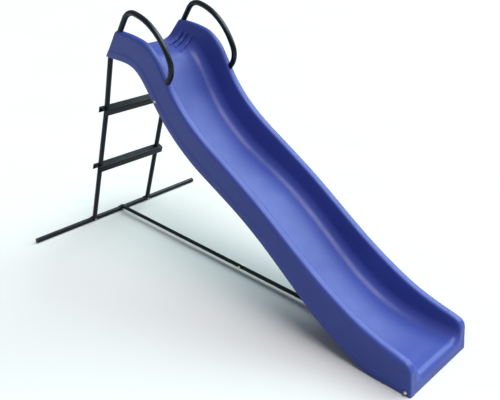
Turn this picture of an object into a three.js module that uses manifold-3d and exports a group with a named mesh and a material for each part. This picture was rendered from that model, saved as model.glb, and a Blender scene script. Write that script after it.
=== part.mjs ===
// Free-standing garden and pool slide: a one-piece blow-moulded wavy chute on a bolted steel tube ladder.
// Millimetres, +Z up, +X from the ladder towards the run-out, the chute's middle plane is Y = 0.
// While it is built, X = 0 is the base bar; the finished parts are moved so that the origin is the
// middle of the footprint on the ground.
import * as THREE from "three";
import { mergeVertices } from "three/addons/utils/BufferGeometryUtils.js";
import Module from "manifold-3d";

// ---- gaps -------------------------------------------------------------------------------------
const FIT = 0.4; // between touching parts, and round a tube in its hole
const BOLT_FIT = 0.3; // round a bolt's shank, on the radius

// ---- steel tubes ------------------------------------------------------------------------------
const TUBE_R = 16; // ladder, handrail and base bar, outside radius
const TUBE_WALL = 2;
const TUBE_SIDES = 16; // facets round a tube
const BORE_SIDES = 12;
const TIE_R = 12.5; // ground tie, outside radius
const TIE_WALL = 1.5;
const CROSS_R = 10; // bar between the chute's feet
const BEND_STEP = 9; // degrees per facet along a bend
const DRILL_REACH = 30; // how far a cross hole's tool stands out from a tube's axis
const ROUND_SIDES = 24; // facets round a clearance cut

// ---- widths, each side of the middle plane ------------------------------------------------------
const CHUTE_HALF = 251; // half the outside width, at the band along the lower edge
const RAIL_COVER = 4; // from there to the handrail tube inside the wall
const WALL_SPARE = 16; // what the wall is wider than the handrail tube in it, at the rim
const TREAD_OVERHANG = 37; // upright's axis to the tread's end
const BASE_OVERHANG = 445; // upright's axis to the end of the base bar's tube
const INNER_HALF = CHUTE_HALF - 2 * TUBE_R - WALL_SPARE; // inner wall face at the rim
const FRAME_HALF = CHUTE_HALF - RAIL_COVER - TUBE_R; // axis of the handrail and the ladder upright
const TREAD_HALF = FRAME_HALF + TREAD_OVERHANG;
const BASE_HALF = FRAME_HALF + BASE_OVERHANG;

// ---- ladder -----------------------------------------------------------------------------------
const LADDER_LEAN = 20.9; // degrees from upright, leaning towards the chute
const UPPER_LEAN = 18; // the stretch above the upper tread
const LEG_LEAN = 37.6; // the handrail's back leg, along the chute's back face
const LOWER_TREAD_AT = 491; // along the upright, from the base bar's axis to the tread's top
const TREAD_SPACING = 453;
const TREAD_ROOM = 11; // from the upright to each end of the tread's depth
const TREAD_DEPTH = 2 * (TUBE_R + TREAD_ROOM);
const TREAD_HEIGHT = 45;
const TREAD_SHEET = 2;
const TREAD_CORNER = 5;
const TREAD_RIBS = 5;
const TREAD_RIB_HEIGHT = 1;
const TREAD_RIB_FOOT = 0.6; // width of a rib's foot and of its top, as shares of the pitch
const TREAD_RIB_TOP = 0.3;
const TREAD_EDGE = 1; // plain strip between the corner and the first rib's pitch
const TREAD_BOLT_DROP = 22; // below the tread's top
const SPIGOT = 50; // length of the reduced end that goes up into the handrail tube
const SPIGOT_FIT = 1; // between the reduced end and the tube it sits in, on the radius
const JOINT_BELOW = 40; // the joint's distance under the upper tread's top
const JOINT_ABOVE = 12; // the straight goes on this far over the upper tread's top

// ---- handrail, in the side plane ----------------------------------------------------------------
const KNEE_HEIGHT = 1224; // where the upright's line meets the leg's line
const EASE_BEND = 300; // radius of the slight bend over the upper tread
const KNEE_BEND = 100;
const TOP_BEND = 99;
const TOP_TURN = 61.8; // degrees
const SWEEP_BEND = 364;
const SWEEP_TURN = 57.6;
const FRONT_BEND = 96;
const FRONT_TURN = 62.6;
const LEG_LENGTH = 297; // knee to the start of the top bend, along the leg
const FRONT_TAIL = 190; // straight end that runs down inside the wall
const SIDE_BOLT_UP = 9; // from the tail's end to its bolt
const BACK_BOLT_UP = 26; // the back face's bolt, over the knee

// ---- chute --------------------------------------------------------------------------------------
const BAND_STEP = 1.8; // how far the band stands proud of the wall above it
const BAND_HEIGHT = 45;
const FLARE = 8; // the inner faces stand this much further out on the platform
const FLARE_FROM = 700; // where that begins to fade, and where it has gone
const FLARE_TO = 950;
const DRAFT = 0.165; // the inner wall leans in by this much per millimetre going down
const FILLET = 65; // between inner wall and bed
const FILLET_SHARE = 0.62; // most of the wall's height that the fillet may take
const FILLET_STEPS = 6;
const RIM_OUTER = 19; // rim rounding, outside and inside
const RIM_INNER = 15;
const RIM_STEPS = 3;
const SKIN = 3.2; // moulded wall thickness
const SIDE_SKIN = 1.6; // the same, where the side is drawn out furthest
const BED_THICK = 8; // the two skins pressed together under the bed
const FOOT_WIDTH = 34; // flat underside of each wall
const FOOT_SLOPE = 0.35;
const FOOT_CHAMFER = 4;
const EDGE_ROUND = 8; // back edge rounding
const END_ROUND = 12; // front edge rounding in plan
const INNER_DRAW = 5; // most that an inner wall face draws back at a rounded edge
const RIM_DRAW = 4; // most that the rim draws down there
const PANEL = 9; // thickness of the closing panels at the back and the front
const PANEL_UP = 2; // their lower edge over the foot of the walls
const STEP = 0.5; // half the run of a sudden step in the mould
const CHUTE_END = 2576; // base bar axis to the front face, level with the lip
const CORNER_ROUND = 52; // top front corner of each wall, seen from the side
const NOSE_ROUND = 38; // the bed's front lip
const BED_END_HEIGHT = 76; // bed above the ground at the run-out
const BACK_BED_HEIGHT = 1262; // bed above the ground at the back lip
const BACK_RIM_UP = 160; // rim above the bed along the back face
const BACK_EDGE_DOWN = 44; // lower edge below the bed along the back face
// One row per rib line of the chute, from the platform to the run-out:
// bed point x and z, lean of the line (degrees), rim above the bed, lower edge below the bed.
const RIB_LINES = [
  [540, 1264, 28, 138, 48],
  [610, 1261, 21, 129, 46],
  [670, 1248, 24, 134, 43],
  [725, 1218, 34, 153, 38],
  [776, 1168, 45, 163, 33],
  [826, 1097, 52, 158, 28],
  [888, 1006, 52, 157, 24],
  [968, 910, 48, 160, 19],
  [1062, 826, 43, 161, 17],
  [1172, 748, 36, 161, 16],
  [1290, 686, 30, 153, 18],
  [1410, 626, 28, 143, 21],
  [1530, 558, 31, 137, 21],
  [1650, 477, 36, 136, 19],
  [1770, 386, 38, 141, 18],
  [1890, 292, 37, 151, 19],
  [2010, 209, 33, 159, 27],
  [2130, 147, 27, 156, 42],
  [2250, 107, 20, 143, 63],
];
// The run-out between two places, its lower edge on the ground: bed height, lean, rim above the bed.
const RUN_OUT_FROM = 2370;
const RUN_OUT_TO = CHUTE_END - 97;
const RUN_OUT_PITCH = 110; // between its lines
const RUN_OUT_FIRST = [86, 13, 125];
const RUN_OUT_LAST = [77.5, 6, 107];
const NOTCH_AT = CHUTE_END - 147; // small step up in the lower edge
const NOTCH_HEIGHT = 8;
const NOTCH_LENGTH = 65;
const NOTCH_CLEAR = 12; // no other section this near the step
const END_ZONE = CHUTE_END - 59; // from here the sections stand alike
const END_RIM_HEIGHT = 179; // rim above the ground there
const END_RIM_FALL = 0.28; // and its slope
const END_LEAN = -5; // the front face leans back from its foot
const GRIP_AT = [565, 612, 660]; // grip ribs on each side of the platform: places along the bed
const GRIP_WIDTH = 9;
const GRIP_HEIGHT = 5;
const GRIP_ROOT = 1.5; // how far a rib reaches into the wall's skin
const GRIP_START = -86; // degrees round the fillet, 0 = level, and the rib's span
const GRIP_SPAN = 78;
const GRIP_STEPS = 6;
const GRIP_TIP = 0.35; // share of a step by which the rib's rise starts early at each end

// ---- fasteners: shank radius, hex width over flats, head height, flange radius ------------------------
const M8 = { shank: 4, flats: 13, head: 5.5, flange: 8.5, nut: 6.5 };
const M6 = { shank: 3, flats: 10, head: 4, flange: 6.2, nut: 5 };
const FLANGE_THICK = 1.5;
const THREAD_OUT = 8; // how far a through bolt goes on past the last tube
const SIDE_BOLT_LENGTH = 14;
const FRONT_BOLT_LENGTH = 72;
const FLANGE_SIDES = 12;
const SHANK_SIDES = 8;

// ---- ground tie and cross bar ---------------------------------------------------------------------
const FOOT_BOLT_HEIGHT = TUBE_R - 1.4;
const SADDLE_BOLT_HEIGHT = TUBE_R - 3.5;
const TIE_BACK_HEIGHT = SADDLE_BOLT_HEIGHT + M6.flange + FIT + TIE_R; // clears the saddle's bolt
const CROSS_HEIGHT = 20;
const CROSS_X = CHUTE_END - 24;
const TIE_JOINT_X = 1272; // where the back tube ends and the front tube's full size begins
const TIE_BOLT_X = 1240;
const TIE_OVERLAP = 80;
const SADDLE_SHEET = 3;
const FOOT_SADDLE_HALF = 28;
const FOOT_SADDLE_ARC = [42, 208]; // degrees round the base bar, from +X towards +Z
const TIE_SADDLE_HALF = 20;
const TIE_SADDLE_ARC = [-28, 128];
const SADDLE_STEPS = 12;
const CROSS_GAP = 1; // between the cross bar's end and the wall's sloping inner foot
const CAP_LENGTH = 4;
const CAP_PLUG = 18;
const CAP_CHAMFER = 3;

// ---- materials ----------------------------------------------------------------------------------
const material = (color, roughness, metalness) =>
  new THREE.MeshStandardMaterial({ color, roughness, metalness });
const PLASTIC = material(0x3a459c, 0.38, 0);
const COATING = material(0x1b1c20, 0.42, 0.1);
const CAP_PLASTIC = material(0x141417, 0.6, 0);
const ZINC = material(0xc3bd9f, 0.35, 0.9);

// ================================================================================================
// Helpers
// ================================================================================================
const wasm = await Module();
wasm.setup();

const rad = (degrees) => (degrees * Math.PI) / 180;
const assembly = new THREE.Group();

function solid(geometry) {
  const bare = geometry.index ? geometry.toNonIndexed() : geometry.clone();
  bare.deleteAttribute("normal");
  bare.deleteAttribute("uv");
  const welded = mergeVertices(bare, 1e-4);
  return new wasm.Manifold(
    new wasm.Mesh({
      numProp: 3,
      vertProperties: welded.attributes.position.array,
      triVerts: new Uint32Array(welded.index.array),
    }),
  );
}

function geometryOf(body) {
  const mesh = body.getMesh();
  const points = new Float32Array(mesh.numVert * 3);
  for (let i = 0; i < mesh.numVert; i++) {
    points.set(mesh.vertProperties.subarray(i * mesh.numProp, i * mesh.numProp + 3), i * 3);
  }
  const geometry = new THREE.BufferGeometry();
  geometry.setAttribute("position", new THREE.BufferAttribute(points, 3));
  geometry.setIndex(new THREE.BufferAttribute(new Uint32Array(mesh.triVerts), 1));
  geometry.computeVertexNormals();
  return geometry;
}

function addPart(name, body, look) {
  const part = new THREE.Mesh(geometryOf(body), look);
  part.name = name;
  assembly.add(part);
}

// A point at distance `along` and `across` in a frame that starts at `from` and points `lean` degrees
// from upright towards +X, in the plane at `y`.
function leanPoint(from, lean, along, across, y) {
  const s = Math.sin(rad(lean));
  const c = Math.cos(rad(lean));
  return new THREE.Vector3(from.x + along * s + across * c, y, from.z + along * c - across * s);
}

// Joins rings of the same number of points into one closed solid; the end rings are filled.
// `flat` gives the ring's points as 2-D outlines for filling.
function loft(rings, flat) {
  const count = rings[0].length;
  const points = rings.flat().flatMap((p) => [p.x, p.y, p.z]);
  const faces = [];
  for (let r = 0; r + 1 < rings.length; r++) {
    for (let i = 0; i < count; i++) {
      const a = r * count + i;
      const b = r * count + ((i + 1) % count);
      faces.push(a, b, a + count, b, b + count, a + count);
    }
  }
  const last = (rings.length - 1) * count;
  const startFill = THREE.ShapeUtils.triangulateShape(flat[0], []);
  const endFill = THREE.ShapeUtils.triangulateShape(flat[1], []);
  const clockwise = THREE.ShapeUtils.isClockWise(flat[0]);
  startFill.forEach(([a, b, c]) => faces.push(a, ...(clockwise ? [b, c] : [c, b])));
  endFill.forEach(([a, b, c]) => {
    faces.push(last + a, ...(clockwise ? [last + c, last + b] : [last + b, last + c]));
  });
  const geometry = new THREE.BufferGeometry();
  geometry.setAttribute("position", new THREE.Float32BufferAttribute(points, 3));
  geometry.setIndex(faces);
  const body = solid(geometry);
  return body.volume() < 0 ? solid(flipped(geometry)) : body;
}

function flipped(geometry) {
  const index = geometry.index.array;
  for (let i = 0; i < index.length; i += 3) {
    const swap = index[i + 1];
    index[i + 1] = index[i + 2];
    index[i + 2] = swap;
  }
  return geometry;
}

// A tube or rod along a path in the side plane at `y`; path is a list of {x, z, dx, dz}.
function sweepRod(path, y, radius, sides = TUBE_SIDES) {
  const angles = Array.from({ length: sides }, (_, i) => ((i + 0.5) / sides) * 2 * Math.PI);
  const circle = angles.map((a) => new THREE.Vector2(radius * Math.cos(a), radius * Math.sin(a)));
  const rings = path.map((p) =>
    circle.map((q) => new THREE.Vector3(p.x - q.x * p.dz, y + q.y, p.z + q.x * p.dx)),
  );
  return loft(rings, [circle, circle]);
}

// A round rod between two points.
function rod(from, to, radius, sides = TUBE_SIDES) {
  const axis = new THREE.Vector3().subVectors(to, from);
  const geometry = new THREE.CylinderGeometry(radius, radius, axis.length(), sides);
  geometry.translate(0, axis.length() / 2, 0);
  place(geometry, from, axis);
  return solid(geometry);
}

// Turns a shape made along +Y so that it starts at `from` and runs along `axis`.
function place(geometry, from, axis) {
  const turn = new THREE.Quaternion().setFromUnitVectors(Y, axis.clone().normalize());
  geometry.applyQuaternion(turn);
  geometry.translate(from.x, from.y, from.z);
}

// A turned shape: profile is a list of [radius, height], closed on itself or on the axis.
function turned(profile, from, axis, sides) {
  const geometry = new THREE.LatheGeometry(profile.map(([r, h]) => new THREE.Vector2(r, h)), sides);
  place(geometry, from, axis);
  const body = solid(geometry);
  return body.volume() < 0 ? solid(flipped(mergeVertices(bareOf(geometry), 1e-4))) : body;
}

function bareOf(geometry) {
  const bare = geometry.clone();
  bare.deleteAttribute("normal");
  bare.deleteAttribute("uv");
  return bare;
}

// An outline in a plane, extruded. axes: where the outline's x and y and the depth point.
function slab(outline, holes, depth, origin, u, v) {
  const shape = new THREE.Shape(outline);
  holes.forEach((h) => shape.holes.push(new THREE.Path(h)));
  const geometry = new THREE.ExtrudeGeometry(shape, { depth, bevelEnabled: false, steps: 1 });
  const w = new THREE.Vector3().crossVectors(u, v);
  geometry.applyMatrix4(new THREE.Matrix4().makeBasis(u, v, w).setPosition(origin));
  return solid(geometry);
}

const X = new THREE.Vector3(1, 0, 0);
const Y = new THREE.Vector3(0, 1, 0);
const Z = new THREE.Vector3(0, 0, 1);
const SIDES = [["left", 1], ["right", -1]];

// ================================================================================================
// Fasteners: a flanged hex bolt that points along `axis` from under its head, and a flanged nut
// ================================================================================================
function hexagon(size, height, from, axis) {
  const corner = size.flats / Math.sqrt(3);
  const geometry = new THREE.CylinderGeometry(corner, corner, height, 6);
  geometry.translate(0, height / 2, 0);
  place(geometry, from, axis);
  return solid(geometry);
}

function bolt(size, under, axis, length) {
  const unit = axis.clone().normalize();
  const step = (d) => under.clone().addScaledVector(unit, d);
  const flange = rod(step(-FLANGE_THICK), under, size.flange, FLANGE_SIDES);
  const head = hexagon(size, size.head + FLANGE_THICK / 2, step(-FLANGE_THICK / 2), unit.clone().negate());
  const shank = rod(step(-FLANGE_THICK / 2), step(length), size.shank, SHANK_SIDES);
  return flange.add(head).add(shank);
}

function nut(size, face, axis) {
  const unit = axis.clone().normalize();
  const step = (d) => face.clone().addScaledVector(unit, d);
  const flange = rod(face, step(FLANGE_THICK), size.flange, FLANGE_SIDES);
  const body = hexagon(size, size.nut, step(FLANGE_THICK / 2), unit);
  const hole = rod(step(-1), step(size.nut + 3), size.shank + BOLT_FIT, SHANK_SIDES);
  return flange.add(body).subtract(hole);
}

const drill = (size, from, to) => rod(from, to, size.shank + BOLT_FIT, SHANK_SIDES);

// ================================================================================================
// Lines of the frame in the side plane
// ================================================================================================
const base = { x: 0, z: TUBE_R };
const upperTreadAt = LOWER_TREAD_AT + TREAD_SPACING;
const jointAt = upperTreadAt - JOINT_BELOW;
const onLadder = (along, across, y) => leanPoint(base, LADDER_LEAN, along, across, y);
const ladderAxis = onLadder(1, 0, 0).sub(onLadder(0, 0, 0));

// Path of the handrail tube: up from the joint, knee, leg, top bend, sweep, front bend and tail.
function handrailPath() {
  const path = [];
  let heading = 90 - LADDER_LEAN;
  const start = onLadder(jointAt, 0, 0);
  const at = { x: start.x, z: start.z };
  const mark = () => path.push({ x: at.x, z: at.z, dx: Math.cos(rad(heading)), dz: Math.sin(rad(heading)) });
  const straight = (length) => {
    at.x += length * Math.cos(rad(heading));
    at.z += length * Math.sin(rad(heading));
    mark();
  };
  const bend = (radius, turn) => {
    const steps = Math.max(1, Math.round(Math.abs(turn) / BEND_STEP));
    const side = Math.sign(turn);
    const cx = at.x + side * radius * Math.sin(rad(heading));
    const cz = at.z - side * radius * Math.cos(rad(heading));
    for (let i = 0; i < steps; i++) {
      heading -= turn / steps;
      at.x = cx - side * radius * Math.sin(rad(heading));
      at.z = cz + side * radius * Math.cos(rad(heading));
      mark();
    }
  };
  mark();
  straight(JOINT_BELOW + JOINT_ABOVE);
  bend(EASE_BEND, -(LADDER_LEAN - UPPER_LEAN));
  const kneeTurn = LEG_LEAN - UPPER_LEAN;
  const kneeTangent = KNEE_BEND * Math.tan(rad(kneeTurn / 2));
  straight((KNEE_HEIGHT - at.z) / Math.cos(rad(UPPER_LEAN)) - kneeTangent);
  bend(KNEE_BEND, kneeTurn);
  straight(LEG_LENGTH - kneeTangent);
  bend(TOP_BEND, TOP_TURN);
  bend(SWEEP_BEND, SWEEP_TURN);
  bend(FRONT_BEND, FRONT_TURN);
  straight(FRONT_TAIL);
  return path;
}
const railPath = handrailPath();
const railEnd = railPath[railPath.length - 1];
const SAME = 1e-9;
const legStart = railPath.find((p) => Math.abs(p.dx - Math.sin(rad(LEG_LEAN))) < SAME);

// The chute's back face runs along the leg, one skin and one gap behind the tube.
const backCover = TUBE_R + SKIN + FIT;
const backFace = {
  x: legStart.x - backCover * Math.cos(rad(LEG_LEAN)),
  z: legStart.z + backCover * Math.sin(rad(LEG_LEAN)),
};
const backX = (z) => backFace.x + (z - backFace.z) * Math.tan(rad(LEG_LEAN));

// ================================================================================================
// Chute
// ================================================================================================
// One line across the side view: where it crosses the bed, its lean, the rim above and the edge below.
const lineOf = ([x, z, lean, up, down]) => ({ x, z, lean, up, down });

function notchRise(x) {
  const past = x - NOTCH_AT;
  return past > 0 && past < NOTCH_LENGTH ? NOTCH_HEIGHT * (1 - past / NOTCH_LENGTH) : 0;
}

function runOutLines() {
  const length = RUN_OUT_TO - RUN_OUT_FROM;
  const steps = Math.max(1, Math.round(length / RUN_OUT_PITCH));
  return Array.from({ length: steps + 1 }, (_, i) => {
    const share = i / steps;
    const [z, lean, up] = RUN_OUT_FIRST.map((first, k) => first + share * (RUN_OUT_LAST[k] - first));
    return lineOf([RUN_OUT_FROM + share * length, z, lean, up, z / Math.cos(rad(lean))]);
  });
}

// Heights measured along the front face's lean.
const alongEnd = (...heights) => heights.map((height) => height / Math.cos(rad(END_LEAN)));

const controlLines = [
  lineOf([backX(BACK_BED_HEIGHT), BACK_BED_HEIGHT, LEG_LEAN, BACK_RIM_UP, BACK_EDGE_DOWN]),
  ...RIB_LINES.map(lineOf),
  ...runOutLines(),
  lineOf([END_ZONE, BED_END_HEIGHT, END_LEAN, ...alongEnd(END_RIM_HEIGHT - BED_END_HEIGHT, BED_END_HEIGHT)]),
];

// Smooth curve through the control lines; t counts them from 0.
function lineAt(t) {
  const i = Math.min(Math.floor(t), controlLines.length - 2);
  const f = t - i;
  const pick = (k) => controlLines[Math.min(Math.max(k, 0), controlLines.length - 1)];
  const blend = (key) => {
    const [a, b, c, d] = [pick(i - 1)[key], pick(i)[key], pick(i + 1)[key], pick(i + 2)[key]];
    return (
      b + 0.5 * f * (c - a + f * (2 * a - 5 * b + 4 * c - d + f * (3 * (b - c) + d - a)))
    );
  };
  const line = { x: blend("x"), z: blend("z"), lean: blend("lean"), up: blend("up"), down: blend("down") };
  return { ...line, inner: innerHalf(line.x), inset: 0, under: BED_THICK };
}

// Middle plane to the inner wall face at the rim, wider over the platform.
function innerHalf(x) {
  const share = Math.min(1, Math.max(0, (FLARE_TO - x) / (FLARE_TO - FLARE_FROM)));
  return INNER_HALF + FLARE * share * share * (3 - 2 * share);
}

// How far a rounded edge draws in, `distance` before the face, for a rounding of `radius`.
function drawIn(distance, radius) {
  const left = Math.max(0, radius - distance);
  return radius - Math.sqrt(radius * radius - left * left);
}

// All lines, back to front, with both ends rounded and closed by panels.
function chuteLines() {
  const lines = [];
  const back = controlLines[0];
  const second = lineAt(1);
  const backSteps = [0, 1, 3, 5.5, PANEL - STEP, PANEL];
  backSteps.forEach((d) => {
    const line = lineAt(d / (second.x - back.x));
    line.inset = drawIn(d * Math.cos(rad(LEG_LEAN)), EDGE_ROUND);
    if (d < PANEL) line.under = line.down - PANEL_UP;
    lines.push(line);
  });
  const lastIndex = controlLines.length - 1;
  for (let i = 0; i < lastIndex; i++) {
    for (const f of [0, 0.5]) {
      const line = lineAt(i + f);
      if (i + f > 0 && Math.abs(edgeX(line) - NOTCH_AT) > NOTCH_CLEAR) lines.push(raised(line));
    }
  }
  [NOTCH_AT - STEP, NOTCH_AT + STEP].forEach((x) => lines.push(raised(lineThrough(x))));
  lines.sort((a, b) => edgeX(a) - edgeX(b));
  return [...lines, ...endLines()];
}

// Where a line's lower end is along the chute.
const edgeX = (line) => line.x - line.down * Math.sin(rad(line.lean));

// The line whose lower end is at x.
function lineThrough(x) {
  let low = 0;
  let high = controlLines.length - 1;
  while (high - low > SAME) {
    const mid = (low + high) / 2;
    if (edgeX(lineAt(mid)) < x) low = mid;
    else high = mid;
  }
  return lineAt(low);
}

// The same line with its lower edge kept on or above the ground, and lifted at the notch.
function raised(line) {
  line.down = Math.min(line.down, line.z / Math.cos(rad(line.lean)));
  line.down -= notchRise(edgeX(line));
  return line;
}

// Sections through the rounded front end.
function endLines() {
  const tilt = Math.atan(END_RIM_FALL);
  const cornerX = CHUTE_END - CORNER_ROUND;
  const cornerZ =
    END_RIM_HEIGHT - END_RIM_FALL * (cornerX - END_ZONE) - CORNER_ROUND / Math.cos(tilt);
  const noseX = CHUTE_END - NOSE_ROUND;
  const insideFace = CHUTE_END - PANEL;
  const beforeEnd = [47, 37, 29, 22, 16, PANEL + STEP, PANEL, 5.5, 2.5, 0.7, 0];
  const places = [END_ZONE, ...beforeEnd.map((d) => CHUTE_END - d)];
  return places.map((x) => {
    const overCorner = cornerX + CORNER_ROUND * Math.sin(tilt);
    const rim =
      x < overCorner
        ? END_RIM_HEIGHT - END_RIM_FALL * (x - END_ZONE)
        : cornerZ + Math.sqrt(Math.max(0, CORNER_ROUND ** 2 - (x - cornerX) ** 2));
    const overNose = Math.max(0, x - noseX);
    const bed = BED_END_HEIGHT - NOSE_ROUND + Math.sqrt(NOSE_ROUND ** 2 - overNose ** 2);
    const [up, down] = alongEnd(rim - bed, bed);
    const under = x < insideFace ? BED_THICK : down - PANEL_UP;
    const inset = drawIn(CHUTE_END - x, END_ROUND);
    return { x, z: bed, lean: END_LEAN, up, down, inner: INNER_HALF, inset, under };
  });
}

const SLANT = Math.atan(DRAFT);
const filletOf = (line) => Math.min(FILLET, line.up * FILLET_SHARE);
const filletCentre = (line) =>
  line.inner - DRAFT * (line.up - filletOf(line)) - filletOf(line) / Math.cos(SLANT);

// Half of the outline of a section, from the bed's edge up over the rim and down to the underside.
function halfOutline(line) {
  const e = line.inset;
  const top = line.up - Math.min(e, RIM_DRAW);
  const fillet = filletOf(line);
  const drawn = Math.min(e, INNER_DRAW);
  const innerAt = (h) => line.inner + drawn - DRAFT * (line.up - h);
  const points = [];
  const arc = (y, h, radius, from, to, steps) => {
    for (let i = 0; i <= steps; i++) {
      const a = rad(from + ((to - from) * i) / steps);
      points.push(new THREE.Vector2(y + radius * Math.cos(a), h + radius * Math.sin(a)));
    }
  };
  const slantDegrees = (SLANT * 180) / Math.PI;
  const innerRound = RIM_INNER - drawn;
  const outerRound = RIM_OUTER - drawn;
  const rimCentre = innerAt(top - innerRound) + innerRound / Math.cos(SLANT);
  arc(filletCentre(line) + drawn, fillet, fillet, -90, -slantDegrees, FILLET_STEPS);
  arc(rimCentre, top - innerRound, innerRound, 180 - slantDegrees, 90, RIM_STEPS);
  const wall = CHUTE_HALF - BAND_STEP - e;
  arc(wall - outerRound, top - outerRound, outerRound, 90, 0, RIM_STEPS);
  const edge = -line.down;
  const bandTop = edge + BAND_HEIGHT;
  points.push(new THREE.Vector2(wall, bandTop + BAND_STEP));
  points.push(new THREE.Vector2(CHUTE_HALF - e, bandTop));
  points.push(new THREE.Vector2(CHUTE_HALF - e, edge + FOOT_CHAMFER));
  points.push(new THREE.Vector2(CHUTE_HALF - e - FOOT_CHAMFER, edge));
  const footY = CHUTE_HALF - FOOT_WIDTH;
  points.push(new THREE.Vector2(footY, edge));
  points.push(new THREE.Vector2(footY - FOOT_SLOPE * (line.down - line.under), -line.under));
  return points;
}

const ringOf = (outline, line) => outline.map((p) => leanPoint(line, line.lean, p.y, 0, p.x));

function chuteShell() {
  const lines = chuteLines();
  const outlines = lines.map((line) => {
    const half = halfOutline(line);
    const mirrored = half.map((p) => new THREE.Vector2(-p.x, p.y)).reverse();
    return [...half, ...mirrored];
  });
  const rings = outlines.map((outline, i) => ringOf(outline, lines[i]));
  return loft(rings, [outlines[0], outlines[outlines.length - 1]]);
}

// The hollow inside one wall: under the fillet it begins HOLLOW_TIP beyond the fillet's centre.
const HOLLOW_TIP = 24;
const HOLLOW_STEPS = 4;

function hollowOutline(line) {
  const fillet = filletOf(line);
  const innerAt = (h) => line.inner - DRAFT * (line.up - h);
  const centreY = filletCentre(line);
  const reach = fillet + SKIN;
  const points = [];
  const tipY = centreY + HOLLOW_TIP;
  const tipAngle = Math.acos(HOLLOW_TIP / reach);
  for (let i = 0; i <= HOLLOW_STEPS; i++) {
    const a = -tipAngle + ((tipAngle - SLANT) * i) / HOLLOW_STEPS;
    points.push(new THREE.Vector2(centreY + reach * Math.cos(a), fillet + reach * Math.sin(a)));
  }
  const top = line.up - SKIN;
  points.push(new THREE.Vector2(innerAt(line.up - RIM_INNER) + SKIN, line.up - RIM_INNER));
  points.push(new THREE.Vector2(innerAt(top) + RIM_INNER, top));
  const wall = CHUTE_HALF - BAND_STEP - SIDE_SKIN;
  points.push(new THREE.Vector2(wall - RIM_OUTER + FOOT_CHAMFER, top));
  points.push(new THREE.Vector2(wall, line.up - RIM_OUTER));
  const edge = -line.down + SKIN;
  points.push(new THREE.Vector2(wall, edge + FOOT_CHAMFER / 2));
  points.push(new THREE.Vector2(wall - FOOT_CHAMFER, edge));
  const footY = CHUTE_HALF - FOOT_WIDTH + SKIN;
  points.push(new THREE.Vector2(footY, edge));
  const under = -line.under + SKIN;
  points.push(new THREE.Vector2(footY - FOOT_SLOPE * (under - edge), under));
  points.push(new THREE.Vector2(tipY, under));
  return points;
}

function wallHollow(side) {
  const first = SKIN / Math.cos(rad(LEG_LEAN)) / (lineAt(1).x - controlLines[0].x);
  const lines = [first, 1 / 3, 2 / 3].map(lineAt);
  for (let i = 1; i < controlLines.length - 1; i++) {
    lines.push(raised(lineAt(i)));
  }
  lines.push(...endLines().filter((line) => line.x < CHUTE_END - END_ROUND && line.x > END_ZONE));
  const outlines = lines.map((line) => hollowOutline(line).map((p) => new THREE.Vector2(side * p.x, p.y)));
  return loft(outlines.map((o, i) => ringOf(o, lines[i])), [outlines[0], outlines[outlines.length - 1]]);
}

// Raised curved ribs on the platform that run from the bed up the fillet.
function gripRib(side, bedX) {
  const t = controlLines.findIndex((line) => line.x > bedX) - 1;
  const spanOf = controlLines[t + 1].x - controlLines[t].x;
  const line = lineAt(t + (bedX - controlLines[t].x) / spanOf);
  const fillet = filletOf(line);
  const onFillet = (radius, a) =>
    new THREE.Vector2(side * (filletCentre(line) + radius * Math.cos(a)), fillet + radius * Math.sin(a));
  const outer = [];
  const inner = [];
  for (let i = 0; i <= GRIP_STEPS; i++) {
    const a = rad(GRIP_START + (GRIP_SPAN * i) / GRIP_STEPS);
    const rise = GRIP_HEIGHT * Math.sin((Math.PI * (i + GRIP_TIP)) / (GRIP_STEPS + 2 * GRIP_TIP));
    outer.push(onFillet(fillet + GRIP_ROOT, a));
    inner.push(onFillet(fillet - rise, a));
  }
  const outline = [...outer, ...inner.reverse()];
  const across = (d) => outline.map((p) => leanPoint(line, line.lean, p.y, d, p.x));
  return loft([across(-GRIP_WIDTH / 2), across(GRIP_WIDTH / 2)], [outline, outline]);
}

const crossHalf = CHUTE_HALF - FOOT_WIDTH - FOOT_SLOPE * (CROSS_HEIGHT + CROSS_R) - CROSS_GAP;
const backNormal = new THREE.Vector3(Math.cos(rad(LEG_LEAN)), 0, -Math.sin(rad(LEG_LEAN)));
const backBoltZ = KNEE_HEIGHT + BACK_BOLT_UP;
const sideBolt = { x: railEnd.x - SIDE_BOLT_UP * railEnd.dx, z: railEnd.z - SIDE_BOLT_UP * railEnd.dz };
const HOLE_PAST = 8; // how far a hole's tool goes on past the skin it cuts

function chuteBody() {
  let body = chuteShell();
  SIDES.forEach(([, side]) => {
    body = body.subtract(wallHollow(side));
    GRIP_AT.forEach((x) => (body = body.add(gripRib(side, x))));
    body = body.subtract(sweepRod(railPath, side * FRAME_HALF, TUBE_R + FIT));
    const y = side * FRAME_HALF;
    const backAt = new THREE.Vector3(backX(backBoltZ), y, backBoltZ);
    const reach = backAt.clone().addScaledVector(backNormal, backCover - TUBE_R / 2);
    body = body.subtract(drill(M8, backAt.clone().addScaledVector(backNormal, -HOLE_PAST), reach));
    const out = side * (CHUTE_HALF + HOLE_PAST);
    const sideTo = new THREE.Vector3(sideBolt.x, y, sideBolt.z);
    body = body.subtract(drill(M8, new THREE.Vector3(sideBolt.x, out, sideBolt.z), sideTo));
    const inside = side * (crossHalf - HOLE_PAST);
    const frontTo = new THREE.Vector3(CROSS_X, inside, CROSS_HEIGHT);
    body = body.subtract(drill(M8, new THREE.Vector3(CROSS_X, out, CROSS_HEIGHT), frontTo));
  });
  return body;
}

addPart("chute", chuteBody(), PLASTIC);

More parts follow.
